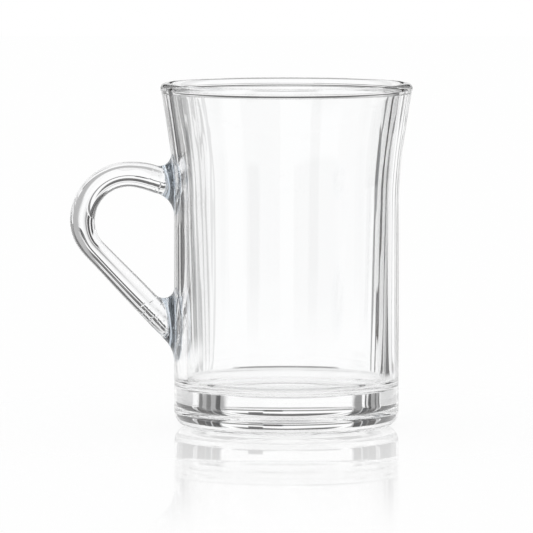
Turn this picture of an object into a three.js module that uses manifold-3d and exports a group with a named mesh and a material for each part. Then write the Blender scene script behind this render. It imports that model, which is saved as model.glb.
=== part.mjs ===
// A clear glass mug: a blown vessel with a heavy base and a flared mouth, and a solid rod handle
// that is fused to the wall through two flared pads of glass.
// Millimetres, +Z up. The origin is on the vessel's axis, in the plane that the mug stands on.
// The handle lies in the XZ plane, on the -X side.
import * as THREE from "three";
import { mergeVertices } from "three/addons/utils/BufferGeometryUtils.js";
import Module from "manifold-3d";

// Vessel
const HEIGHT = 110; // from the table to the top of the rim
const BODY_RADIUS = 36; // outside of the straight lower wall
const HEEL_RADIUS = 5; // rounding between the wall and the underside
const FLARE_START = 70; // height at which the wall begins to open
const FLARE_BEND = 149; // radius of the bend from the straight wall into the cone
const FLARE_ANGLE = 8.9; // degrees that the cone opens from upright
const WALL_LOW = 4; // wall thickness above the floor
const WALL_TOP = 3.2; // wall thickness from the flare up
const RIM_SWELL = 0.2; // how far the fire-polished rim stands out of the wall, on each side
const BASE_THICKNESS = 12; // from the table to the edge of the inside floor
const FLOOR_DISH = 0.6; // how much lower the floor is at its centre
const FLOOR_FILLET = 4; // rounding between the floor and the inside wall

// Underside
const STANDING_RADIUS = 27; // inner edge of the ring that the mug stands on
const RECESS_DEPTH = 0.6; // the flat middle of the underside stands this far off the table
const RECESS_SLOPE = 3; // width of the slope between the ring and the flat middle

// Handle
const LOOP_HEIGHT = 65.9; // height of the loop's centre
const LOOP_REACH = 14.4; // from the straight wall out to the loop's centre
const LOOP_RADIUS = 14.9; // centreline of the upper loop
const BEND_RADIUS = 13; // centreline of the bend from the loop into the leg
const ARM_SLOPE = 17; // degrees that the arm falls towards the wall
const LEG_SLOPE = 46; // degrees that the leg falls towards the wall
const ARM_END_DIAMETER = 8.6; // rod at its upper end
const ARM_DIAMETER = 8; // rod round the loop
const BEND_DIAMETER = 7.2; // rod where it has stretched in the lower bend
const LEG_DIAMETER = 8; // rod at its lower end

// Pads: the fillet radii where the rod spreads over the wall
const ARM_PAD = { above: 3.6, beside: 4, below: 7.5 };
const LEG_PAD = { above: 3.4, beside: 4, below: 10 };
const PAD_NECK = 0.8; // plain rod at the end of a pad, past the start of its fillets
const FUSE_GAP = 0.3; // clearance that stands for the fused faces between two pieces
const SEAT_SHRINK = 0.9; // a pad runs on into the wall, to this share of its distance from the axis

// Fineness of the facets, and of the searches
const TURN_SIDES = 72;
const ARC_STEPS = 4;
const ROD_SIDES = 24;
const ROD_STEP = 2.2;
const FILLET_STEPS = 8;
const HALVINGS = 40; // in the search for where a line meets the wall
const ARM_PASSES = 12; // to settle the arm's height on the wall
const SAME_POINT = 1e-4; // corners nearer than this are one

const radians = THREE.MathUtils.degToRad;
const flareAngle = radians(FLARE_ANGLE);
const bendRise = FLARE_BEND * Math.sin(flareAngle);
const bendSpread = FLARE_BEND * (1 - Math.cos(flareAngle));
const rimRound = WALL_TOP / 2 + RIM_SWELL;
const rimHeight = HEIGHT - rimRound;

// Outside radius of the vessel's wall at a height above its heel.
function wallRadius(z) {
  const rise = z - FLARE_START;
  if (rise <= 0) return BODY_RADIUS;
  if (rise < bendRise) {
    return BODY_RADIUS + FLARE_BEND - Math.sqrt(FLARE_BEND ** 2 - rise ** 2);
  }
  return BODY_RADIUS + bendSpread + (rise - bendRise) * Math.tan(flareAngle);
}

// A surface of revolution about Z from a profile whose x is the radius and whose y is the height.
function revolve(path) {
  return new THREE.LatheGeometry(path.getPoints(ARC_STEPS), TURN_SIDES).rotateX(Math.PI / 2);
}

// Adds the bend and the cone of the wall to a profile that has come up to the flare, at a distance
// out from the outside of the wall.
function flareUp(profile, out, topHeight) {
  const centre = BODY_RADIUS + FLARE_BEND;
  const bend = FLARE_BEND - out;
  profile.absarc(centre, FLARE_START, bend, Math.PI, Math.PI - flareAngle, true);
  const coneTop = wallRadius(topHeight) + out / Math.cos(flareAngle);
  profile.lineTo(coneTop, topHeight);
}

// The vessel: out along the underside, up the outside, over the rim and down the inside.
function vesselGeometry() {
  const floorEdge = BODY_RADIUS - WALL_LOW - FLOOR_FILLET;
  const floorCentre = BASE_THICKNESS - FLOOR_DISH;
  // The rim is a round bead about the middle of the wall, and the wall's faces run into it
  const beadRadius = wallRadius(rimHeight) - WALL_TOP / 2 / Math.cos(flareAngle);
  const beadBite = Math.asin(WALL_TOP / 2 / rimRound);
  const sinkIn = rimRound * Math.cos(beadBite);
  const beadFoot = rimHeight - sinkIn * Math.cos(flareAngle);
  const outerMeet = -flareAngle - (Math.PI / 2 - beadBite);
  const innerMeet = Math.PI - flareAngle + (Math.PI / 2 - beadBite);

  const outside = new THREE.Path();
  outside.moveTo(0, RECESS_DEPTH);
  outside.lineTo(STANDING_RADIUS - RECESS_SLOPE, RECESS_DEPTH);
  outside.lineTo(STANDING_RADIUS, 0);
  outside.lineTo(BODY_RADIUS - HEEL_RADIUS, 0);
  outside.absarc(BODY_RADIUS - HEEL_RADIUS, HEEL_RADIUS, HEEL_RADIUS, -Math.PI / 2, 0, false);
  outside.lineTo(BODY_RADIUS, FLARE_START);
  flareUp(outside, 0, beadFoot);
  outside.absarc(beadRadius, rimHeight, rimRound, outerMeet, innerMeet, false);

  // The inside is drawn upwards from the floor and then turned round
  const inside = new THREE.Path();
  inside.moveTo(0, floorCentre);
  inside.quadraticCurveTo(floorEdge / 2, floorCentre, floorEdge, BASE_THICKNESS);
  inside.absarc(floorEdge, BASE_THICKNESS + FLOOR_FILLET, FLOOR_FILLET, -Math.PI / 2, 0, false);
  inside.lineTo(BODY_RADIUS - WALL_TOP, FLARE_START);
  flareUp(inside, -WALL_TOP, beadFoot);

  const profile = [...outside.getPoints(ARC_STEPS), ...inside.getPoints(ARC_STEPS).reverse()];
  return new THREE.LatheGeometry(profile, TURN_SIDES).rotateX(Math.PI / 2);
}

// A solid that fills the vessel's outside, a clearance larger all round: it trims the pads.
function vesselEnvelope() {
  const radius = BODY_RADIUS + FUSE_GAP;
  const profile = new THREE.Path();
  profile.moveTo(0, 0);
  profile.lineTo(radius, 0);
  profile.lineTo(radius, FLARE_START);
  flareUp(profile, FUSE_GAP, HEIGHT);
  profile.lineTo(0, HEIGHT);
  return revolve(profile);
}

// A closed solid through rings of equally many points, which turn anticlockwise as seen from the last
// ring back to the first.
function loft(rings) {
  const sides = rings[0].length;
  const centreOf = (ring) => ring.reduce((sum, p) => sum.add(p), new THREE.Vector3()).divideScalar(sides);
  const points = [...rings.flat(), centreOf(rings[0]), centreOf(rings.at(-1))];
  const last = (rings.length - 1) * sides;
  const startCentre = rings.length * sides;
  const faces = [];
  for (let i = 0; i < sides; i++) {
    const next = (i + 1) % sides;
    faces.push(startCentre, next, i);
    faces.push(startCentre + 1, last + i, last + next);
    for (let row = 0; row < last; row += sides) {
      faces.push(row + i, row + next, row + sides + i);
      faces.push(row + next, row + sides + next, row + sides + i);
    }
  }
  return new THREE.BufferGeometry().setFromPoints(points).setIndex(faces);
}

// A ring of the rod: a circle about a point of the XZ plane, square to a direction in that plane.
function rodRing(centre, along, diameter) {
  const across = new THREE.Vector3(0, 1, 0);
  const up = new THREE.Vector3().crossVectors(across, along);
  return Array.from({ length: ROD_SIDES }, (_, i) => {
    const angle = (2 * Math.PI * i) / ROD_SIDES;
    return centre
      .clone()
      .addScaledVector(up, (Math.cos(angle) * diameter) / 2)
      .addScaledVector(across, (Math.sin(angle) * diameter) / 2);
  });
}

// The point where a line meets the outside of the wall, as a distance along the line.
function distanceToWall(start, along) {
  let inside = -BODY_RADIUS;
  let outside = BODY_RADIUS;
  for (let halving = 0; halving < HALVINGS; halving++) {
    const middle = (inside + outside) / 2;
    const point = start.clone().addScaledVector(along, middle);
    if (Math.hypot(point.x, point.y) < wallRadius(point.z)) inside = middle;
    else outside = middle;
  }
  return outside;
}

// The nearest point of the wall's outside at the same height.
function ontoWall(point) {
  const scale = wallRadius(point.z) / Math.hypot(point.x, point.y);
  return new THREE.Vector3(point.x * scale, point.y * scale, point.z);
}

// A pad where the rod meets the wall: `root` is where the rod's centreline reaches the wall and
// `outward` points from there along the rod. Each side of the rod spreads over the wall through a
// fillet that touches both. The fillet's radius passes smoothly from above, to beside, to below.
function padShape(root, outward, diameter, fillet) {
  const columns = rodRing(root, outward, diameter).map((onRod, i) => {
    const spread = onRod.clone().sub(root).normalize();
    const height = Math.cos((2 * Math.PI * i) / ROD_SIDES);
    const end = height > 0 ? fillet.above : fillet.below;
    const radius = fillet.beside + (end - fillet.beside) * height ** 2;
    const wallAt = distanceToWall(onRod, outward);
    const corner = onRod.clone().addScaledVector(outward, wallAt);
    const farther = ontoWall(corner.clone().add(spread));
    const overWall = farther.sub(corner).normalize();
    const halfAngle = outward.angleTo(overWall) / 2;
    const leg = radius / Math.tan(halfAngle);
    return {
      corner,
      weight: Math.sin(halfAngle),
      startAt: wallAt + leg,
      start: corner.clone().addScaledVector(outward, leg),
      end: ontoWall(corner.clone().addScaledVector(overWall, leg)),
    };
  });
  const length = Math.max(...columns.map((c) => c.startAt)) + PAD_NECK;
  const rings = [rodRing(root.clone().addScaledVector(outward, length), outward, diameter)];
  for (let step = 0; step <= FILLET_STEPS; step++) {
    const s = step / FILLET_STEPS;
    // A round arc from the rod to the wall, as a weighted curve with the corner as its middle point
    rings.push(
      columns.map((c) => {
        const shares = [(1 - s) ** 2, 2 * c.weight * s * (1 - s), s ** 2];
        const total = shares[0] + shares[1] + shares[2];
        return new THREE.Vector3()
          .addScaledVector(c.start, shares[0] / total)
          .addScaledVector(c.corner, shares[1] / total)
          .addScaledVector(c.end, shares[2] / total);
      }),
    );
  }
  // The last ring lies inside the wall, so that the trim leaves a clean face
  const inward = new THREE.Vector3(SEAT_SHRINK, SEAT_SHRINK, 1);
  rings.push(columns.map((c) => c.end.clone().multiply(inward)));
  return { geometry: loft(rings.reverse()), length };
}

const wasm = await Module();
wasm.setup();

function toSolid(geometry) {
  const bare = new THREE.BufferGeometry();
  const flat = geometry.index ? geometry.toNonIndexed() : geometry;
  bare.setAttribute("position", flat.getAttribute("position"));
  const merged = mergeVertices(bare, SAME_POINT);
  return new wasm.Manifold(
    new wasm.Mesh({
      numProp: 3,
      vertProperties: merged.attributes.position.array,
      triVerts: new Uint32Array(merged.index.array),
    }),
  );
}

function toGeometry(solid) {
  const mesh = solid.getMesh();
  return new THREE.BufferGeometry()
    .setAttribute("position", new THREE.BufferAttribute(mesh.vertProperties, 3))
    .setIndex(new THREE.BufferAttribute(mesh.triVerts, 1));
}

// Handle route in the XZ plane, from the wall at the arm round the loop and down the leg
const loopX = -BODY_RADIUS - LOOP_REACH;
const loopTop = LOOP_HEIGHT + LOOP_RADIUS;
const armSlope = radians(ARM_SLOPE);
const legSlope = radians(LEG_SLOPE);
const armOutward = new THREE.Vector3(-Math.cos(armSlope), 0, Math.sin(armSlope));
const legOutward = new THREE.Vector3(-Math.cos(legSlope), 0, Math.sin(legSlope));

// The leg is tangent to the lower bend, which starts where the loop is furthest out.
const bendX = loopX - LOOP_RADIUS + BEND_RADIUS;
const bendTurn = Math.PI / 2 - legSlope;
const legTop = new THREE.Vector3(
  bendX - BEND_RADIUS * Math.cos(bendTurn),
  0,
  LOOP_HEIGHT - BEND_RADIUS * Math.sin(bendTurn),
);
const legInward = legOutward.clone().negate();
const legRoot = legTop.clone().addScaledVector(legInward, -distanceToWall(legTop, legOutward));
const legPad = padShape(legRoot, legOutward, LEG_DIAMETER, LEG_PAD);

// The arm is straight along its pad, and from there one arc takes it to the top of the loop. The pad's
// length and the arm's height on the wall depend on each other, so they are settled in a few passes.
let armRoot = ontoWall(new THREE.Vector3(loopX, 0, loopTop));
let armRadius = 0;
let armPad;
for (let pass = 0; pass < ARM_PASSES; pass++) {
  armPad = padShape(armRoot, armOutward, ARM_END_DIAMETER, ARM_PAD);
  const straight = armPad.length + FUSE_GAP;
  armRadius = (armRoot.x - straight * Math.cos(armSlope) - loopX) / Math.sin(armSlope);
  const fall = armRadius * (1 - Math.cos(armSlope)) + straight * Math.sin(armSlope);
  armRoot = ontoWall(new THREE.Vector3(loopX, 0, loopTop - fall));
}

function rodGeometry() {
  const start = armRoot.clone().addScaledVector(armOutward, armPad.length + FUSE_GAP);
  const end = legRoot.clone().addScaledVector(legOutward, legPad.length + FUSE_GAP);
  const quarter = Math.PI / 2;
  const route = new THREE.Path();
  route.moveTo(start.x, start.z);
  route.absarc(loopX, loopTop - armRadius, armRadius, quarter - armSlope, quarter, false);
  route.absarc(loopX, LOOP_HEIGHT, LOOP_RADIUS, quarter, 2 * quarter, false);
  route.absarc(bendX, LOOP_HEIGHT, BEND_RADIUS, 2 * quarter, 2 * quarter + bendTurn, false);
  route.lineTo(end.x, end.z);

  // The rod eases from its upper end into the loop, keeps its diameter to the widest part of the loop,
  // draws in through the lower bend and swells again towards the foot of the leg.
  const lengths = route.getCurveLengths();
  const whole = route.getLength();
  const armEnd = lengths[0] / whole;
  const loopEnd = lengths.at(-3) / whole;
  const bendEnd = lengths.at(-2) / whole;
  const smooth = THREE.MathUtils.smoothstep;
  const steps = Math.ceil(whole / ROD_STEP);
  const rings = Array.from({ length: steps + 1 }, (_, i) => {
    const u = i / steps;
    const easing = (ARM_DIAMETER - ARM_END_DIAMETER) * smooth(u, 0, armEnd);
    const drawnIn = (BEND_DIAMETER - ARM_DIAMETER) * smooth(u, loopEnd, bendEnd);
    const swelling = (LEG_DIAMETER - BEND_DIAMETER) * smooth(u, bendEnd, 1);
    const at = route.getPointAt(u);
    const heading = route.getTangentAt(u);
    const centre = new THREE.Vector3(at.x, 0, at.y);
    const along = new THREE.Vector3(heading.x, 0, heading.y);
    return rodRing(centre, along, ARM_END_DIAMETER + easing + drawnIn + swelling);
  });
  return loft(rings);
}

// Clear glass: the pads look a little bluer, because the light passes through them edge on
const clearGlass = (color) => new THREE.MeshStandardMaterial({ color, roughness: 0.03, metalness: 0 });
const mug = new THREE.Group();

function addPiece(name, geometry, color) {
  const piece = new THREE.Mesh(geometry, clearGlass(color));
  piece.name = name;
  mug.add(piece);
}

const envelope = toSolid(vesselEnvelope());
const trimmed = (pad) => toGeometry(toSolid(pad.geometry).subtract(envelope));
addPiece("vessel", vesselGeometry(), 0xf2f6f7);
addPiece("handle_rod", rodGeometry(), 0xf2f6f7);
addPiece("upper_weld_pad", trimmed(armPad), 0xdfe6ec);
addPiece("lower_weld_pad", trimmed(legPad), 0xdfe6ec);

export default mug;
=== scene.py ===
"""A clear glass mug on a glossy white table, lit as bright-field glass is lit in a studio.

Metres, +Z up. The mug stands on its axis at the origin, and its handle points to -X. The vessel, the rod
of the handle and the two weld pads are closed pieces of glass that meet in fused faces. Those faces are
clear, or hold a film of tiny bubbles, so that light passes from piece to piece as it does through glass
that is melted together.
"""
import math

import bmesh
import bpy
from mathutils import Matrix, Vector


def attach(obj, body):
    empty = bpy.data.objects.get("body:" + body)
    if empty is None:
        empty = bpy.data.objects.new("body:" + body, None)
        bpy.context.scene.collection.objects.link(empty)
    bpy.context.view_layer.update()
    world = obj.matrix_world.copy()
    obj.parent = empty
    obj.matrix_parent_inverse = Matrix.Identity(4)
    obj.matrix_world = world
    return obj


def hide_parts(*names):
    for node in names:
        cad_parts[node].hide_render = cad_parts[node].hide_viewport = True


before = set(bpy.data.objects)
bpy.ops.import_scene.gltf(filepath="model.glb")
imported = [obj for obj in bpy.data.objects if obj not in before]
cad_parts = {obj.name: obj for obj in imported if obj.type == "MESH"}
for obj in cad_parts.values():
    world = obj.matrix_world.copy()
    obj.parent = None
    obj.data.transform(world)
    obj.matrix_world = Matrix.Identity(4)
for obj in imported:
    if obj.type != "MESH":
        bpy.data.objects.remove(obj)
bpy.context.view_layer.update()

MM = 0.001

# Vessel
HEIGHT = 110 * MM
BODY_RADIUS = 36 * MM
HEEL_RADIUS = 5 * MM
FLARE_START = 70 * MM
FLARE_BEND = 149 * MM
FLARE_ANGLE = math.radians(8.9)
WALL_LOW = 4 * MM
WALL_TOP = 3.2 * MM
RIM_SWELL = 0.2 * MM
BASE_THICKNESS = 12 * MM
FLOOR_DISH = 0.6 * MM
FLOOR_FILLET = 4 * MM
STANDING_RADIUS = 27 * MM
RECESS_DEPTH = 0.6 * MM
RECESS_SLOPE = 3 * MM

# Handle
LOOP_HEIGHT = 65.9 * MM
LOOP_REACH = 14.4 * MM
LOOP_RADIUS = 14.9 * MM
BEND_RADIUS = 13 * MM
ARM_SLOPE = math.radians(17)
LEG_SLOPE = math.radians(46)
ARM_END_DIAMETER = 8.6 * MM
ARM_DIAMETER = 8 * MM
BEND_DIAMETER = 7.2 * MM
LEG_DIAMETER = 8 * MM
ARM_PAD = {"above": 3.6 * MM, "beside": 4 * MM, "below": 7.5 * MM}
LEG_PAD = {"above": 3.4 * MM, "beside": 4 * MM, "below": 10 * MM}
PAD_NECK = 0.8 * MM

# Fineness of the meshes: a pad's window in the wall has as many sides as the rod
TURN_SIDES = 192
WINDOW_COLUMNS = 20
WINDOW_ROWS = 28
ROD_SIDES = 2 * (WINDOW_COLUMNS + WINDOW_ROWS)
WALL_ROW = 1 * MM
ROD_STEP = 1.2 * MM
FILLET_STEPS = 28
WINDOW_STEPS = 5

# Steps of the vessel's profile
RECESS_STEPS = 8
SLOPE_STEPS = 4
STANDING_STEPS = 4
HEEL_STEPS = 16
HOLLOW_STEPS = 5
RIM_STEPS = 32
FLOOR_FILLET_STEPS = 14
FLOOR_STEPS = 16

# How close points are that count as one or are merged, and how often a search is halved
SAME_POINT = 1e-9
MERGE_DISTANCE = 1e-6
HALVINGS = 40

# The first material slot of a piece of glass is its surface, and these are for its two kinds of joint
FUSED = 1
PRESSED = 2

# Mesh attributes: how a point of the rod lies round the rod and along it, and how far from its neck to
# its foot a point of a pad lies
DRAWN = "drawn"
SPREAD = "spread"

bend_rise = FLARE_BEND * math.sin(FLARE_ANGLE)
bend_spread = FLARE_BEND * (1 - math.cos(FLARE_ANGLE))


def wall_radius(z):
    """Outside radius of the vessel's wall at a height above its heel."""
    rise = z - FLARE_START
    if rise <= 0:
        return BODY_RADIUS
    if rise < bend_rise:
        return BODY_RADIUS + FLARE_BEND - math.sqrt(FLARE_BEND ** 2 - rise ** 2)
    return BODY_RADIUS + bend_spread + (rise - bend_rise) * math.tan(FLARE_ANGLE)


def onto_wall(point):
    """The point of the wall's outside at the same height and in the same direction from the axis."""
    scale = wall_radius(point.z) / math.hypot(point.x, point.y)
    return Vector((point.x * scale, point.y * scale, point.z))


# Modelling helpers

class Pen:
    """Draws a profile in the XZ plane by pulling one point along lines and arcs."""

    def __init__(self, mesh, x, z):
        self.mesh = mesh
        self.tip = mesh.verts.new((x, 0, z))

    def line(self, x, z, steps):
        start = self.tip.co.copy()
        end = Vector((x, 0, z))
        for step in range(1, steps + 1):
            pulled = bmesh.ops.extrude_vert_indiv(self.mesh, verts=[self.tip])
            self.tip = pulled["verts"][0]
            self.tip.co = start.lerp(end, step / steps)

    def arc(self, x, z, turn, steps):
        """Turns about a centre, anticlockwise as seen with +X to the right and +Z up."""
        turned = bmesh.ops.spin(
            self.mesh, geom=[self.tip], cent=(x, 0, z), axis=(0, -1, 0), angle=turn, steps=steps
        )
        self.tip = [v for v in turned["geom_last"] if isinstance(v, bmesh.types.BMVert)][0]


def new_ring(mesh, points):
    """A closed ring of vertices at the given points."""
    ring = bmesh.ops.create_circle(mesh, cap_ends=False, radius=MM, segments=len(points))["verts"]
    place_ring(ring, points)
    return ring


def place_ring(ring, points):
    for vert, point in zip(ring, points):
        vert.co = point


def pull_ring(mesh, ring):
    """Extrudes a ring in place and returns the new ring, in the same order."""
    edges = [mesh.edges.get((ring[i - 1], ring[i])) for i in range(len(ring))]
    pulled = bmesh.ops.extrude_edge_only(mesh, edges=edges)["geom"]
    fresh = {item for item in pulled if isinstance(item, bmesh.types.BMVert)}
    return [next(e.other_vert(v) for e in v.link_edges if e.other_vert(v) in fresh) for v in ring]


def fuse_ring(mesh, ring, joint):
    """Closes a ring with the face where this piece is melted to its neighbour, in a joint's slot."""
    centre = sum((v.co for v in ring), Vector()) / len(ring)
    for i in range(len(ring)):
        mesh.edges.get((ring[i - 1], ring[i])).smooth = False
    pulled = pull_ring(mesh, ring)
    bmesh.ops.pointmerge(mesh, verts=pulled, merge_co=centre)
    hub = next(v for e in ring[0].link_edges for v in e.verts if (v.co - centre).length < SAME_POINT)
    for face in hub.link_faces:
        face.material_index = joint


def add_object(name, mesh):
    """Turns a mesh under construction into an object of the scene."""
    data = bpy.data.meshes.new(name)
    mesh.to_mesh(data)
    mesh.free()
    made = bpy.data.objects.new(name, data)
    bpy.context.collection.objects.link(made)
    return made


def finish_piece(mesh, name, materials):
    """Turns a mesh into the glass piece that stands for the node of the same name."""
    bmesh.ops.recalc_face_normals(mesh, faces=mesh.faces[:])
    for face in mesh.faces:
        face.smooth = True
    piece = add_object(name + "_glass", mesh)
    for material in materials:
        piece.data.materials.append(material)
    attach(piece, "root")
    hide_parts(name)
    return piece


# Handle

def ring_points(centre, along, diameter):
    """A circle about a point of the handle's plane, square to a direction in that plane, from its top."""
    across = Vector((0, 1, 0))
    up = across.cross(along)
    angles = [2 * math.pi * side / ROD_SIDES for side in range(ROD_SIDES)]
    return [centre + (up * math.cos(a) + across * math.sin(a)) * diameter / 2 for a in angles]


def distance_to_wall(start, along):
    """How far along a line from a point it meets the outside of the wall."""
    inside = -BODY_RADIUS
    outside = BODY_RADIUS
    for halving in range(HALVINGS):
        middle = (inside + outside) / 2
        point = start + along * middle
        if math.hypot(point.x, point.y) < wall_radius(point.z):
            inside = middle
        else:
            outside = middle
    return outside


class Pad:
    """Where the rod meets the wall: each side of the rod spreads over the wall through a fillet that
    touches both, and the fillet's radius passes smoothly from above, to beside, to below."""

    def __init__(self, root, outward, diameter, fillet):
        self.columns = []
        starts = []
        for side, on_rod in enumerate(ring_points(root, outward, diameter)):
            height = math.cos(2 * math.pi * side / ROD_SIDES)
            end = fillet["above"] if height > 0 else fillet["below"]
            radius = fillet["beside"] + (end - fillet["beside"]) * height ** 2
            wall_at = distance_to_wall(on_rod, outward)
            corner = on_rod + outward * wall_at
            spread = (on_rod - root).normalized()
            over_wall = (onto_wall(corner + spread * MM) - corner).normalized()
            half_angle = outward.angle(over_wall) / 2
            leg = radius / math.tan(half_angle)
            foot = onto_wall(corner + over_wall * leg)
            self.columns.append((corner + outward * leg, corner, foot, math.sin(half_angle)))
            starts.append(wall_at + leg)
        self.length = max(starts) + PAD_NECK
        self.neck = ring_points(root + outward * self.length, outward, diameter)
        self.foot = [column[2] for column in self.columns]

    def fillet_ring(self, share):
        """The ring at a share of the way round each fillet: a round arc, drawn as a weighted curve."""
        ring = []
        for start, corner, foot, weight in self.columns:
            parts = ((1 - share) ** 2, 2 * weight * share * (1 - share), share ** 2)
            ring.append((start * parts[0] + corner * parts[1] + foot * parts[2]) / sum(parts))
        return ring


# The arm is straight along its pad, and one arc takes it from there to the top of the loop. The pad's
# length and the arm's height on the wall depend on each other, so they are settled in a few passes.
ARM_PASSES = 12
loop_x = -BODY_RADIUS - LOOP_REACH
loop_top = LOOP_HEIGHT + LOOP_RADIUS
arm_outward = Vector((-math.cos(ARM_SLOPE), 0, math.sin(ARM_SLOPE)))
arm_root = onto_wall(Vector((loop_x, 0, loop_top)))
for settling in range(ARM_PASSES):
    arm_pad = Pad(arm_root, arm_outward, ARM_END_DIAMETER, ARM_PAD)
    arm_run = arm_pad.length * math.cos(ARM_SLOPE)
    arm_radius = (arm_root.x - arm_run - loop_x) / math.sin(ARM_SLOPE)
    arm_fall = arm_radius * (1 - math.cos(ARM_SLOPE)) + arm_pad.length * math.sin(ARM_SLOPE)
    arm_root = onto_wall(Vector((loop_x, 0, loop_top - arm_fall)))

# The leg is tangent to the lower bend, which starts where the loop is furthest out.
bend_x = loop_x - LOOP_RADIUS + BEND_RADIUS
bend_turn = math.pi / 2 - LEG_SLOPE
leg_outward = Vector((-math.cos(LEG_SLOPE), 0, math.sin(LEG_SLOPE)))
leg_top = Vector((
    bend_x - BEND_RADIUS * math.cos(bend_turn), 0, LOOP_HEIGHT - BEND_RADIUS * math.sin(bend_turn)
))
leg_root = leg_top + leg_outward * distance_to_wall(leg_top, leg_outward)
leg_pad = Pad(leg_root, leg_outward, LEG_DIAMETER, LEG_PAD)


def handle_rod(materials):
    """The rod is bent round its arcs ring by ring, draws in through the lower bend and swells again."""
    start = arm_root + arm_outward * arm_pad.length
    leg_length = (leg_top - leg_root).length - leg_pad.length
    arcs = (
        (Vector((loop_x, 0, loop_top - arm_radius)), arm_radius, ARM_SLOPE),
        (Vector((loop_x, 0, LOOP_HEIGHT)), LOOP_RADIUS, math.pi / 2),
        (Vector((bend_x, 0, LOOP_HEIGHT)), BEND_RADIUS, bend_turn),
    )
    diameters = (ARM_END_DIAMETER, ARM_DIAMETER, ARM_DIAMETER, BEND_DIAMETER, LEG_DIAMETER)
    mesh = bmesh.new()
    drawn = mesh.verts.layers.float_vector.new(DRAWN)
    first = new_ring(mesh, ring_points(start, arm_outward, ARM_END_DIAMETER))
    ring = first
    centre = start.copy()
    length = 0

    def mark(ring):
        for side, vert in enumerate(ring):
            turn = 2 * math.pi * side / ROD_SIDES
            vert[drawn] = (math.cos(turn), math.sin(turn), length)

    def swell(run, share):
        ease = share * share * (3 - 2 * share)
        return diameters[run] + (diameters[run + 1] - diameters[run]) * ease

    def resize(run, step, steps):
        """Swells the newest ring about its centre, from one step of a run to the next."""
        grow = swell(run, (step + 1) / steps) / swell(run, step / steps)
        to_centre = Matrix.Translation(-centre)
        bmesh.ops.scale(mesh, verts=ring, vec=(grow, grow, grow), space=to_centre)

    mark(first)
    for run, (pivot, radius, turn) in enumerate(arcs):
        steps = math.ceil(radius * turn / ROD_STEP)
        spin = Matrix.Rotation(-turn / steps, 3, "Y")
        for step in range(steps):
            ring = pull_ring(mesh, ring)
            bmesh.ops.rotate(mesh, verts=ring, cent=pivot, matrix=spin)
            centre = pivot + spin @ (centre - pivot)
            resize(run, step, steps)
            length += radius * turn / steps
            mark(ring)
    steps = math.ceil(leg_length / ROD_STEP)
    for step in range(steps):
        ring = pull_ring(mesh, ring)
        bmesh.ops.translate(mesh, verts=ring, vec=-leg_outward * leg_length / steps)
        centre = centre - leg_outward * leg_length / steps
        resize(len(arcs), step, steps)
        length += leg_length / steps
        mark(ring)
    fuse_ring(mesh, first, FUSED)
    fuse_ring(mesh, ring, FUSED)
    finish_piece(mesh, "handle_rod", materials)


def weld_pad(name, pad, materials):
    """A pad is pulled from its neck along the rod, round its fillets and out to its foot on the wall."""
    mesh = bmesh.new()
    spread = mesh.verts.layers.float.new(SPREAD)
    neck = new_ring(mesh, pad.neck)
    ring = neck
    for step in range(FILLET_STEPS + 1):
        share = (1 - math.cos(math.pi * step / FILLET_STEPS)) / 2
        ring = pull_ring(mesh, ring)
        place_ring(ring, pad.fillet_ring(share))
        for vert in ring:
            vert[spread] = share
    fuse_ring(mesh, neck, FUSED)
    fuse_ring(mesh, ring, PRESSED)
    finish_piece(mesh, name, materials)


# Vessel

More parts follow.
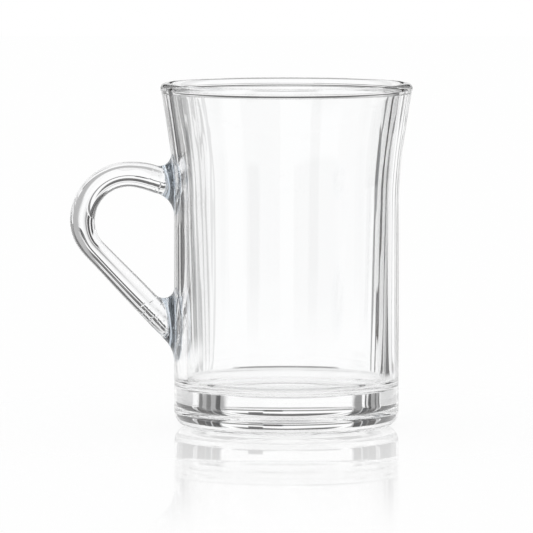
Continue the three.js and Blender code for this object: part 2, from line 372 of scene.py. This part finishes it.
def draw_vessel(mesh):
    """The profile: out along the underside, up the outside, over the rim and down the inside."""
    slope_turn = 2 * math.atan(RECESS_DEPTH / RECESS_SLOPE)
    slope_radius = RECESS_SLOPE / 2 / math.sin(slope_turn)
    recess_edge = STANDING_RADIUS - RECESS_SLOPE
    heel_centre = BODY_RADIUS - HEEL_RADIUS
    bend_centre = BODY_RADIUS + FLARE_BEND
    rim_round = WALL_TOP / 2 + RIM_SWELL
    rim_height = HEIGHT - rim_round
    # The bead's two sides run into the wall through hollows as round as the bead
    hollow_turn = math.acos(1 - RIM_SWELL / rim_round / 2)
    hollow_reach = 2 * rim_round * math.sin(hollow_turn)
    bead = Vector((wall_radius(rim_height) - WALL_TOP / 2 / math.cos(FLARE_ANGLE), 0, rim_height))
    up_wall = Vector((math.sin(FLARE_ANGLE), 0, math.cos(FLARE_ANGLE)))
    out_wall = Vector((math.cos(FLARE_ANGLE), 0, -math.sin(FLARE_ANGLE)))
    outer_foot = bead - up_wall * hollow_reach + out_wall * WALL_TOP / 2
    inner_foot = bead - up_wall * hollow_reach - out_wall * WALL_TOP / 2
    outer_hollow = outer_foot + out_wall * rim_round
    inner_hollow = inner_foot - out_wall * rim_round
    straight_rows = round((FLARE_START - HEEL_RADIUS) / WALL_ROW)
    bend_rows = round(FLARE_BEND * FLARE_ANGLE / WALL_ROW)
    cone_rows = round((outer_foot.z - FLARE_START - bend_rise) / WALL_ROW)
    floor_edge = BODY_RADIUS - WALL_LOW - FLOOR_FILLET
    dish_radius = (floor_edge ** 2 + FLOOR_DISH ** 2) / 2 / FLOOR_DISH
    dish_turn = math.asin(floor_edge / dish_radius)

    pen = Pen(mesh, 0, RECESS_DEPTH)
    pen.line(recess_edge, RECESS_DEPTH, RECESS_STEPS)
    pen.arc(recess_edge, RECESS_DEPTH - slope_radius, -slope_turn, SLOPE_STEPS)
    pen.arc(STANDING_RADIUS, slope_radius, slope_turn, SLOPE_STEPS)
    pen.line(heel_centre, 0, STANDING_STEPS)
    pen.arc(heel_centre, HEEL_RADIUS, math.pi / 2, HEEL_STEPS)
    pen.line(BODY_RADIUS, FLARE_START, straight_rows)
    pen.arc(bend_centre, FLARE_START, -FLARE_ANGLE, bend_rows)
    pen.line(outer_foot.x, outer_foot.z, cone_rows)
    pen.arc(outer_hollow.x, outer_hollow.z, -hollow_turn, HOLLOW_STEPS)
    pen.arc(bead.x, bead.z, math.pi + 2 * hollow_turn, RIM_STEPS)
    pen.arc(inner_hollow.x, inner_hollow.z, -hollow_turn, HOLLOW_STEPS)
    # The inside has fewer rows, because no window is cut in it
    inner_bend = FLARE_BEND + WALL_TOP
    bend_end = Vector((bend_centre, 0, FLARE_START))
    bend_end += Vector((-math.cos(FLARE_ANGLE), 0, math.sin(FLARE_ANGLE))) * inner_bend
    pen.line(bend_end.x, bend_end.z, cone_rows // 2)
    pen.arc(bend_centre, FLARE_START, FLARE_ANGLE, bend_rows // 2)
    pen.line(BODY_RADIUS - WALL_LOW, BASE_THICKNESS + FLOOR_FILLET, straight_rows // 4)
    pen.arc(floor_edge, BASE_THICKNESS + FLOOR_FILLET, -math.pi / 2, FLOOR_FILLET_STEPS)
    pen.arc(0, BASE_THICKNESS - FLOOR_DISH + dish_radius, -dish_turn, FLOOR_STEPS)


def open_window(mesh, pad):
    """Cuts a window in the wall round a pad's foot and draws the wall in to the foot's own outline."""
    heights = [point.z for point in pad.foot]
    middle = round((max(heights) + min(heights)) / 2 / WALL_ROW) * WALL_ROW
    half_height = WINDOW_ROWS / 2 * WALL_ROW
    half_turn = math.pi * WINDOW_COLUMNS / TURN_SIDES

    def in_window(face):
        centre = face.calc_center_median()
        radius = math.hypot(centre.x, centre.y)
        turn = abs(math.atan2(centre.y, -centre.x))
        outside = abs(radius - wall_radius(centre.z)) < WALL_TOP / 4
        return outside and turn < half_turn and abs(centre.z - middle) < half_height

    window = [face for face in mesh.faces if in_window(face)]
    edges = {edge for face in window for edge in face.edges}
    rim = {edge for edge in edges if sum(face in window for face in edge.link_faces) == 1}
    ring = list({vert for edge in rim for vert in edge.verts})
    bmesh.ops.delete(mesh, geom=window, context="FACES")
    ring.sort(key=lambda v: math.atan2(v.co.y, v.co.z - middle) % (2 * math.pi))
    frame_points = [v.co.copy() for v in ring]
    for step in range(1, WINDOW_STEPS + 1):
        share = step / WINDOW_STEPS
        ring = pull_ring(mesh, ring)
        place_ring(ring, [onto_wall(a.lerp(b, share)) for a, b in zip(frame_points, pad.foot)])
    place_ring(ring, pad.foot)
    fuse_ring(mesh, ring, FUSED)


def vessel(materials):
    mesh = bmesh.new()
    draw_vessel(mesh)
    profile = mesh.verts[:] + mesh.edges[:]
    bmesh.ops.spin(
        mesh, geom=profile, cent=(0, 0, 0), axis=(0, 0, 1), angle=2 * math.pi, steps=TURN_SIDES,
        use_merge=True
    )
    bmesh.ops.remove_doubles(mesh, verts=mesh.verts[:], dist=MERGE_DISTANCE)
    open_window(mesh, arm_pad)
    open_window(mesh, leg_pad)
    finish_piece(mesh, "vessel", materials)


# Nodes

WHITE = (1, 1, 1, 1)

# Sockets of a Mix node that mixes colours
COLOUR_A = 6
COLOUR_B = 7
COLOUR_RESULT = 2


class Wire:
    """A socket of a node tree. Arithmetic on wires adds Math nodes, and node() adds any other."""

    def __init__(self, tree, socket=None):
        self.tree = tree
        self.socket = socket

    def node(self, kind, settings, inputs, output=0):
        made = self.tree.nodes.new(kind)
        for name, value in settings.items():
            setattr(made, name, value)
        for name, value in inputs.items():
            if isinstance(value, Wire):
                self.tree.links.new(value.socket, made.inputs[name])
            else:
                made.inputs[name].default_value = value
        return Wire(self.tree, made.outputs[output])

    def math(self, operation, first, second=0):
        return self.node("ShaderNodeMath", {"operation": operation}, {0: first, 1: second})

    def __add__(self, other):
        return self.math("ADD", self, other)

    def __sub__(self, other):
        return self.math("SUBTRACT", self, other)

    def __rsub__(self, other):
        return self.math("SUBTRACT", other, self)

    def __mul__(self, other):
        return self.math("MULTIPLY", self, other)

    __radd__ = __add__
    __rmul__ = __mul__

    def fade(self, value, start, end):
        """1 below the start, 0 past the end, and a smooth step between them."""
        return self.node("ShaderNodeMapRange", {"interpolation_type": "SMOOTHSTEP"}, {
            "Value": value, "From Min": start, "From Max": end, "To Min": 1.0, "To Max": 0.0,
        })

    def band(self, value, start, end, edge):
        """1 between a start and an end, and 0 outside them, past soft edges."""
        return (1 - self.fade(value, start - edge, start)) * self.fade(value, end, end + edge)


def new_material(name):
    """A material with an empty tree, and the wire that adds nodes to it."""
    material = bpy.data.materials.new(name)
    material.use_nodes = True
    material.node_tree.nodes.clear()
    return material, Wire(material.node_tree)


def show(wire, surface, output="ShaderNodeOutputMaterial"):
    wire.tree.links.new(surface.socket, wire.tree.nodes.new(output).inputs["Surface"])


def see_through(wire):
    return wire.node("ShaderNodeBsdfTransparent", {}, {"Color": WHITE})


def glow(wire, colour):
    return wire.node("ShaderNodeEmission", {}, {"Color": colour, "Strength": 1.0})


def mix(wire, share, first, second):
    """A first surface with a second over it, by the second's share."""
    return wire.node("ShaderNodeMixShader", {}, {0: share, 1: first, 2: second})


def mix_colours(wire, share, first, second):
    return wire.node("ShaderNodeMix", {"data_type": "RGBA"}, {
        "Factor": share, COLOUR_A: first, COLOUR_B: second,
    }, COLOUR_RESULT)


def object_place(wire):
    """Where a point lies in its object's own frame, in metres."""
    return wire.node("ShaderNodeTexCoord", {}, {}, "Object")


def coordinates(wire, vector):
    return [wire.node("ShaderNodeSeparateXYZ", {}, {"Vector": vector}, axis) for axis in "XYZ"]


def from_axis(wire, x, y):
    """How far a point lies from the upright axis."""
    return wire.math("POWER", x * x + y * y, 0.5)


def noise_along(wire, value):
    """Smooth noise that depends on one value only."""
    return wire.node("ShaderNodeTexNoise", {"noise_dimensions": "1D"}, {
        "W": value, "Scale": 1.0, "Detail": 0.0,
    })


# Glass

GLASS_INDEX = 1.52
VESSEL_TINT = (0.997, 0.999, 1, 1)
ROD_TINT = (0.995, 0.995, 1, 1)
PAD_NECK_TINT = (0.99, 0.995, 1, 1)
PAD_FOOT_TINT = (0.8, 0.87, 0.95, 1)

# How far each surface rises and falls
VESSEL_RELIEF = 0.02 * MM
ROD_RELIEF = 0.04 * MM
PAD_RELIEF = 0.1 * MM

# How fast the streaks change across and along: those of the wall per metre, and those of the rod on a
# circle of radius 1 round it and per metre of its length
WALL_STREAKS = (305, 5)
ROD_STREAKS = (2.6, 12)

# Rings of the floor and the underside: how fast their noise changes per metre, half the spacing of the
# ridges, where a ridge's side starts and ends, and the heights between which the wall's streaks take over
RING_NOISE = 350
RIDGE_HALF_SPACING = 2.4 * MM
RIDGE_SIDE = (0.1 * MM, 0.7 * MM)
LOW_PART_END = (13 * MM, 17 * MM)

# Pads, by shares of the way from the neck to the foot: where the glass turns blue and cloudy, and the
# start, the end and the soft edges of a raised seam
PAD_TURN = (0.1, 0.4)
PAD_SEAM = (0.3, 0.36, 0.05)
# How fast the unevenness of a pad changes per metre, and how much its seeds and its seam rise beside it
PAD_NOISE = 450.0
SEED_RISE = 0.8
SEAM_RISE = 1.5

# Seeds: how many lie along a metre, and where one's side starts and ends, by shares of their spacing
SEEDS_PER_METRE = 700.0
SEED_SIDE = (0.05, 0.25)

# The colour of bubbles, and the shares of light that they scatter in a pad, its seeds and its seam, and in
# the film under its foot and the film's seeds
MILK = (0.8, 0.88, 0.96, 1)
PAD_MILK = 0.05
SEED_MILK = 0.6
SEAM_MILK = 0.6
FILM_MILK = 0.7
FILM_SEED_MILK = 0.25


def fused_joint():
    """The inner faces where two pieces are melted together show nothing."""
    material, wire = new_material("fused_joint")
    show(wire, see_through(wire))
    return material


def pressed_joint():
    """The inner face of a pad, where it was pressed on the wall: mostly a film of tiny bubbles."""
    material, wire = new_material("pressed_joint")
    show(wire, milky(wire, see_through(wire), seeds(wire) * FILM_SEED_MILK + FILM_MILK))
    return material


def glass(wire, tint, height, depth):
    """Clear glass whose surface rises and falls by a height times a depth in metres."""
    normal = wire.node("ShaderNodeBump", {}, {"Strength": 1.0, "Distance": depth, "Height": height})
    return wire.node("ShaderNodeBsdfPrincipled", {}, {
        "Base Color": tint,
        "Roughness": 0.0,
        "IOR": GLASS_INDEX,
        "Transmission Weight": 1.0,
        "Normal": normal,
    })


def milky(wire, clear, share):
    """A clear surface that scatters a share of its light, as a layer of tiny bubbles does."""
    return mix(wire, share, clear, wire.node("ShaderNodeBsdfDiffuse", {}, {"Color": MILK}))


def seeds(wire):
    """Tiny round bubbles, 1 in the middle of each and 0 between them."""
    near = wire.node("ShaderNodeTexVoronoi", {}, {
        "Vector": object_place(wire), "Scale": SEEDS_PER_METRE,
    }, "Distance")
    return wire.fade(near, *SEED_SIDE)


def streaks(wire, place, across, along):
    """Noise that changes fast across the streaks and slowly along them, which is the third coordinate."""
    stretched = wire.node("ShaderNodeVectorMath", {"operation": "MULTIPLY"}, {
        0: place, 1: (across, across, along),
    })
    return wire.node("ShaderNodeTexNoise", {}, {"Vector": stretched, "Scale": 1.0, "Detail": 1.0})


def vessel_glass():
    """The wall has faint upright streaks from blowing, and the floor and the underside faint rings."""
    material, wire = new_material("vessel_glass")
    place = object_place(wire)
    x, y, z = coordinates(wire, place)
    radius = from_axis(wire, x, y)
    rings = noise_along(wire, radius * RING_NOISE)
    ridges = wire.fade(wire.math("PINGPONG", radius, RIDGE_HALF_SPACING), *RIDGE_SIDE)
    low = wire.fade(z, *LOW_PART_END)
    height = streaks(wire, place, *WALL_STREAKS) * (1 - low) + (rings + ridges) * low
    show(wire, glass(wire, VESSEL_TINT, height, VESSEL_RELIEF))
    return material


def rod_glass():
    """A drawn rod has lines along its length. Its mesh holds the way round the rod and along it."""
    material, wire = new_material("rod_glass")
    place = wire.node("ShaderNodeAttribute", {"attribute_name": DRAWN}, {}, "Vector")
    show(wire, glass(wire, ROD_TINT, streaks(wire, place, *ROD_STREAKS), ROD_RELIEF))
    return material


def pad_glass():
    """Glass that was pressed on hot: it is uneven, holds tiny seeds and looks a little blue."""
    material, wire = new_material("pad_glass")
    uneven = wire.node("ShaderNodeTexNoise", {}, {
        "Vector": object_place(wire), "Scale": PAD_NOISE, "Detail": 2.0,
    })
    seed = seeds(wire)
    spread = wire.node("ShaderNodeAttribute", {"attribute_name": SPREAD}, {}, "Fac")
    cloudy = 1 - wire.fade(spread, *PAD_TURN)
    seam = wire.band(spread, *PAD_SEAM)
    tint = mix_colours(wire, cloudy, PAD_NECK_TINT, PAD_FOOT_TINT)
    clear = glass(wire, tint, uneven + seed * SEED_RISE + seam * SEAM_RISE, PAD_RELIEF)
    show(wire, milky(wire, clear, (seed * SEED_MILK + PAD_MILK) * cloudy + seam * SEAM_MILK))
    return material


# Stage

# Camera: level with the middle of the mug's height and a little above, at the photograph's framing
AIM = Vector((-6.4, 0, 51.2)) * MM
FRAME_WIDTH = 170.7 * MM
CAMERA_DISTANCE = 2.1
CAMERA_RISE = math.radians(4.4)
CAMERA_REACH = 20
SENSOR_WIDTH = 36
# How often light is followed through glass, and off faces that mirror it
GLASS_BOUNCES = 32
MIRROR_BOUNCES = 16

# Table: its size and white, the share of that white which is its own light, and its polish, which fades
# between two distances from the mug's axis
FLOOR_SIZE = 6
TABLE_WHITE = (0.993, 0.993, 0.993, 1)
TABLE_GLOW = 0.85
POLISH_SHARE = 0.7
POLISH_INDEX = 1.45
POLISH_ROUGHNESS = 0.01
POLISH_END = (0.03, 0.32)
# How strongly a mirrored view shows the dark on the table, where a view through glass shows all of it
MIRRORED_DARK = 0.5

# The surround is dark in rings about the line of sight, and on the table in rays from the mug. Each is
# given by where it starts and ends, in degrees from the line of sight or from straight behind, the share
# of light it covers and the width of its soft edges.
RINGS = ((29, 31, 0.5, 0.6), (47, 74, 0.9, 1.5))
HIGH_RING = (16, 23, 0.95, 3)
FAR_RAYS = ((-68, -60, 0.9, 1.5), (-44, -33, 1, 0.5))
RAYS = (
    (-27, -19, 1, 0.5), (-16, -13, 0.5, 1.5), (-11.2, -9.8, 0.3, 0.3), (-8.1, -7.7, 0.2, 0.2),
    (-6.5, -6.2, 0.2, 0.2), (-5.1, -4.8, 0.15, 0.2), (9.6, 10.8, 0.55, 0.3), (13.4, 14.8, 0.7, 0.3),
    (21, 24, 1, 0.4), (31, 33, 0.5, 0.4), (47, 74, 0.9, 1.5),
)
# The rays on the table start beside the mug, where the light that they cover would leave its wall, by X
# and Y. They set in between two distances from the mug's axis, and those on the far left further out.
RAYS_START = (30 * MM, 15 * MM)
RAYS_CLEAR = (0.1, 0.16)
FAR_RAYS_CLEAR = (0.3, 0.45)
# They leave out the part of the table that the leg of the handle shows, by its ends and its soft edges in
# X and in Y
LEG_WINDOW_X = (-0.105, -0.07, 0.015)
LEG_WINDOW_Y = (0.1, 0.18, 0.09)
# Dark patches painted into the table's colour close behind the mug and behind its handle, which only glass
# and polished faces show: painted dark that the glass shows as dark lines and soft shade.
# Each is given by its ends in X and Y, the share of light it covers and the width of its soft edges
PAINTED_DARK_PATCHES = ((-0.02, 0.02, 0.12, 0.155, 0.5, 0.008), (-0.115, -0.055, 0.02, 0.04, 0.5, 0.015))

# The dark is a little warm or cool. It turns from one to the other with noise that changes so fast per
# degree, between two levels of that noise.
WARM_SHADE = (0.052, 0.044, 0.038, 1)
COOL_SHADE = (0.038, 0.044, 0.052, 1)
SHADE_NOISE = 0.5
SHADE_TURN = (0.35, 0.65)

# The high ring on the dome stops above the horizon, which is a dark line itself. A line or flag on a dome
# is given by its ends in turn and in rise, in degrees, the share of light it covers and its soft edges.
DOME_RADIUS = 2.9
DOME_COLUMNS = 64
DOME_ROWS = 32
HIGH_RING_END = (8, 11)
HORIZON = (-25, 25, 1.3, 3.4, 0.8, 0.4)
# An inner dome that polished faces do not mirror: two flags on the right that the leg of the handle shows,
# and the flags on each side that the solid base shows through its rounded heel
INNER_DOME_RADIUS = 2.8
LEG_FLAGS = ((2, 7.5, 1.5, 4, 0.95, 1), (8.5, 13.5, 6.7, 10, 0.9, 0.4))
BASE_FLAGS = (
    (25.9, 44, 1, 28, 0.5, 1), (26.6, 30.2, 1, 28, 0.9, 0.5), (31.7, 34.5, 1, 28, 0.7, 0.5),
    (35.4, 41, 1, 28, 0.8, 0.5),
)

# Low flags behind the mug, which lean towards it so that they show less from a little above. Each is given
# by its two ends, in degrees from straight behind, how far it stands behind the others, and its grey. The
# base turns them round, so that those on the right show in its left half.
LOW_FLAGS = (
    (23.9, 43, 0.5 * MM, 0.38), (26.6, 29.4, 0, 0.06), (31.3, 34.8, 0, 0.16), (36.8, 40.5, 0, 0.16),
    (-31.2, -25.4, 0, 0.26), (-45.2, -32.4, 0.5 * MM, 0.3), (-33.7, -32.4, 0, 0.08),
    (-37.1, -34.3, 0, 0.04), (-41.4, -39.8, 0, 0.08), (-44.7, -43.3, 0, 0.08),
)
# Where the light that the low flags cover leaves the base, in X and Y, where the flags have their top and
# their foot, in Y and Z, and the share of a flag that is soft edge
LOW_FLAG_FAN = (6.7 * MM, 35 * MM)
LOW_FLAG_TOP = (53 * MM, 8 * MM)
LOW_FLAG_FOOT = (101 * MM, -8 * MM)
LOW_FLAG_SOFT = 0.4

# A small flag low behind the arm of the handle, beside the light that the wall shows
ARM_FLAG_ENDS = (-63 * MM, -43 * MM)
ARM_FLAG_BEHIND = 30 * MM
ARM_FLAG_FOOT = 60 * MM
ARM_FLAG_TOP = 69 * MM
ARM_FLAG_GREY = 0.45
ARM_FLAG_SOFT = 0.5

# Grey cards on the camera's side, where the room is dimmer, given by their two ends, in degrees from
# straight behind, and their grey. They lean outwards, between a foot and a top that are given by their
# distance and height.
FRONT_CARDS = ((-141, -153, 0.4), (174, 128, 0.6), (-118, -80, 0.75), (105, 92, 0.7))
FRONT_CARD_FOOT = (0.33, 1 * MM)
FRONT_CARD_TOP = (0.5, 0.4)
FRONT_CARD_SOFT = 0.05


def dark_shade(wire, degrees):
    """The dark of the surround, which turns from warm to cool and back every few degrees."""
    mood = noise_along(wire, degrees * SHADE_NOISE)
    return mix_colours(wire, wire.fade(mood, *SHADE_TURN), WARM_SHADE, COOL_SHADE)


def stripe_cover(wire, value, stripes):
    """How much stripes cover, by where each starts and ends, its share of light and its soft edges."""
    return sum(wire.band(value, start, end, edge) * share for start, end, share, edge in stripes)


def panel_cover(wire, across, along, panel):
    """How much a panel covers, by its ends across and along, its share of light and its soft edges."""
    left, right, near, far, share, edge = panel
    return wire.band(across, left, right, edge) * wire.band(along, near, far, edge) * share


def dome_angles(wire):
    """A point's angle from the line of sight, its turn from straight behind and its rise, in degrees."""
    toward = wire.node("ShaderNodeVectorMath", {"operation": "NORMALIZE"}, {0: object_place(wire)})
    sight = (0, math.cos(CAMERA_RISE), -math.sin(CAMERA_RISE))
    level = wire.node("ShaderNodeVectorMath", {"operation": "DOT_PRODUCT"}, {0: toward, 1: sight}, "Value")
    x, y, z = coordinates(wire, toward)
    angle = wire.math("ARCCOSINE", level) * math.degrees(1)
    turn = wire.math("ARCTAN2", x, y) * math.degrees(1)
    rise = wire.math("ARCSINE", z) * math.degrees(1)
    return angle, turn, rise


def ring_paint(wire):
    """What the rings and the horizon cover of a point of the dome, and their shade."""
    angle, turn, rise = dome_angles(wire)
    above = 1 - wire.fade(rise, *HIGH_RING_END)
    rings = stripe_cover(wire, angle, RINGS) + stripe_cover(wire, angle, (HIGH_RING,)) * above
    return rings + panel_cover(wire, turn, rise, HORIZON), dark_shade(wire, angle)


def flag_paint(wire):
    """What the flags of the leg and of the base cover of a point of the inner dome, and their shade."""
    angle, turn, rise = dome_angles(wire)
    aside = wire.math("ABSOLUTE", turn)
    leg = sum(panel_cover(wire, turn, rise, flag) for flag in LEG_FLAGS)
    base = sum(panel_cover(wire, aside, rise, flag) for flag in BASE_FLAGS)
    return leg + base, dark_shade(wire, angle)


def ray_paint(wire):
    """What the painted dark rays and patches cover of a point of the table, and their shade."""
    x, y = coordinates(wire, object_place(wire))[:2]
    beside = wire.math("MAXIMUM", wire.math("ABSOLUTE", x) - RAYS_START[0], 0)
    turn = wire.math("ARCTAN2", beside, y - RAYS_START[1]) * wire.math("SIGN", x) * math.degrees(1)
    far = from_axis(wire, x, y)
    rays = 0
    for group, clear in ((RAYS, RAYS_CLEAR), (FAR_RAYS, FAR_RAYS_CLEAR)):
        rays = stripe_cover(wire, turn, group) * (1 - wire.fade(far, *clear)) + rays
    kept = 1 - wire.band(x, *LEG_WINDOW_X) * wire.band(y, *LEG_WINDOW_Y)
    # Dark patches painted on the table, which only glass and polished faces show
    painted_dark_patches = sum(panel_cover(wire, x, y, cloth) for cloth in PAINTED_DARK_PATCHES)
    return rays * kept + painted_dark_patches, dark_shade(wire, turn)


def table():
    """A polished white table. Most of its white is its own, so that the mug's shadow on it stays faint.
    What the glass shows of it, and more faintly what polished faces mirror, is painted dark in rays and
    patches."""
    mesh = bmesh.new()
    bmesh.ops.create_grid(mesh, x_segments=4, y_segments=4, size=FLOOR_SIZE / 2)
    floor = add_object("table", mesh)
    material, wire = new_material("glossy_white_table")
    far = wire.node("ShaderNodeVectorMath", {"operation": "LENGTH"}, {0: object_place(wire)}, "Value")
    slant = wire.node("ShaderNodeFresnel", {}, {"IOR": POLISH_INDEX})
    gloss = wire.fade(far, *POLISH_END) * slant * POLISH_SHARE
    lit = wire.node("ShaderNodeBsdfDiffuse", {}, {"Color": TABLE_WHITE})
    paint = mix(wire, TABLE_GLOW, lit, glow(wire, TABLE_WHITE))
    polish = wire.node("ShaderNodeBsdfGlossy", {}, {"Color": WHITE, "Roughness": POLISH_ROUGHNESS})
    mirrored = wire.node("ShaderNodeLightPath", {}, {}, "Is Glossy Ray")
    in_glass = mirrored * MIRRORED_DARK + wire.node("ShaderNodeLightPath", {}, {}, "Is Transmission Ray")
    cover, shade = ray_paint(wire)
    show(wire, mix(wire, cover * in_glass, mix(wire, gloss, paint, polish), glow(wire, shade)))
    floor.data.materials.append(material)


def light_card(name, mesh, paint, mirrored):
    """Adds a card whose paint gives the share, 0 to 1, that it covers of the room's light, and its shade.
    Only the glass shows it, and where it is mirrored, polished faces do too."""
    panel = add_object(name, mesh)
    panel.visible_camera = False
    panel.visible_diffuse = False
    panel.visible_shadow = False
    panel.visible_glossy = mirrored
    material, wire = new_material(name + "_card")
    cover, shade = paint(wire)
    show(wire, mix(wire, cover, see_through(wire), glow(wire, shade)))
    panel.data.materials.append(material)


def card(name, low, high, grey, soft, mirrored):
    """A card between a low edge and a high edge, each given by its two ends, that fades to its edges."""
    mesh = bmesh.new()
    mesh.loops.layers.uv.new("UVMap")
    bmesh.ops.create_grid(mesh, x_segments=1, y_segments=1, size=0.5, calc_uvs=True)
    for vert in mesh.verts:
        edge = high if vert.co.y > 0 else low
        vert.co = edge[1] if vert.co.x > 0 else edge[0]

    def paint(wire):
        place = wire.node("ShaderNodeTexCoord", {}, {}, "UV")
        inside = 1
        for along in coordinates(wire, place)[:2]:
            inside = wire.fade(wire.math("ABSOLUTE", along * 2 - 1), 1 - soft, 1) * inside
        return inside, (grey, grey, grey, 1)

    light_card(name, mesh, paint, mirrored)


def dome(name, radius, paint, mirrored):
    mesh = bmesh.new()
    bmesh.ops.create_uvsphere(mesh, u_segments=DOME_COLUMNS, v_segments=DOME_ROWS, radius=radius)
    light_card(name, mesh, paint, mirrored)


def low_flag(start, end, behind, grey):
    """A low flag behind the mug between two directions, which only the base shows."""
    def edge(y, z):
        reach = y - LOW_FLAG_FAN[1]
        turns = (math.radians(start), math.radians(end))
        return [(reach * math.tan(t) - math.copysign(LOW_FLAG_FAN[0], t), y + behind, z) for t in turns]

    card("low_flag", edge(*LOW_FLAG_FOOT), edge(*LOW_FLAG_TOP), grey, LOW_FLAG_SOFT, False)


def arm_flag():
    def edge(z):
        return [(x, ARM_FLAG_BEHIND, z) for x in ARM_FLAG_ENDS]

    card("arm_flag", edge(ARM_FLAG_FOOT), edge(ARM_FLAG_TOP), ARM_FLAG_GREY, ARM_FLAG_SOFT, False)


def front_card(start, end, grey):
    def edge(distance, height):
        turns = (math.radians(start), math.radians(end))
        return [(distance * math.sin(t), distance * math.cos(t), height) for t in turns]

    card("front_card", edge(*FRONT_CARD_FOOT), edge(*FRONT_CARD_TOP), grey, FRONT_CARD_SOFT, True)


def studio():
    """A white room, the table, and the dark that the glass shows."""
    world = bpy.data.worlds.new("white_room")
    bpy.context.scene.world = world
    world.use_nodes = True
    world.node_tree.nodes.clear()
    wire = Wire(world.node_tree)
    white = wire.node("ShaderNodeBackground", {}, {"Color": WHITE, "Strength": 1.0})
    show(wire, white, "ShaderNodeOutputWorld")
    table()
    dome("dome", DOME_RADIUS, ring_paint, True)
    dome("inner_dome", INNER_DOME_RADIUS, flag_paint, False)
    for flag in LOW_FLAGS:
        low_flag(*flag)
    arm_flag()
    for front in FRONT_CARDS:
        front_card(*front)


def camera():
    data = bpy.data.cameras.new("camera")
    data.sensor_width = SENSOR_WIDTH
    data.lens = SENSOR_WIDTH * CAMERA_DISTANCE / FRAME_WIDTH
    data.clip_end = CAMERA_REACH
    viewer = bpy.data.objects.new("camera", data)
    viewer.location = AIM + Vector((0, -math.cos(CAMERA_RISE), math.sin(CAMERA_RISE))) * CAMERA_DISTANCE
    viewer.rotation_euler = (math.pi / 2 - CAMERA_RISE, 0, 0)
    bpy.context.collection.objects.link(viewer)
    bpy.context.scene.camera = viewer


camera()
joints = [fused_joint(), pressed_joint()]
vessel([vessel_glass()] + joints)
handle_rod([rod_glass()] + joints)
pad_materials = [pad_glass()] + joints
weld_pad("upper_weld_pad", arm_pad, pad_materials)
weld_pad("lower_weld_pad", leg_pad, pad_materials)
studio()

scene = bpy.context.scene
scene.view_settings.view_transform = "Standard"
scene.cycles.max_bounces = GLASS_BOUNCES
scene.cycles.transmission_bounces = GLASS_BOUNCES
scene.cycles.glossy_bounces = MIRROR_BOUNCES
scene.cycles.transparent_max_bounces = GLASS_BOUNCES
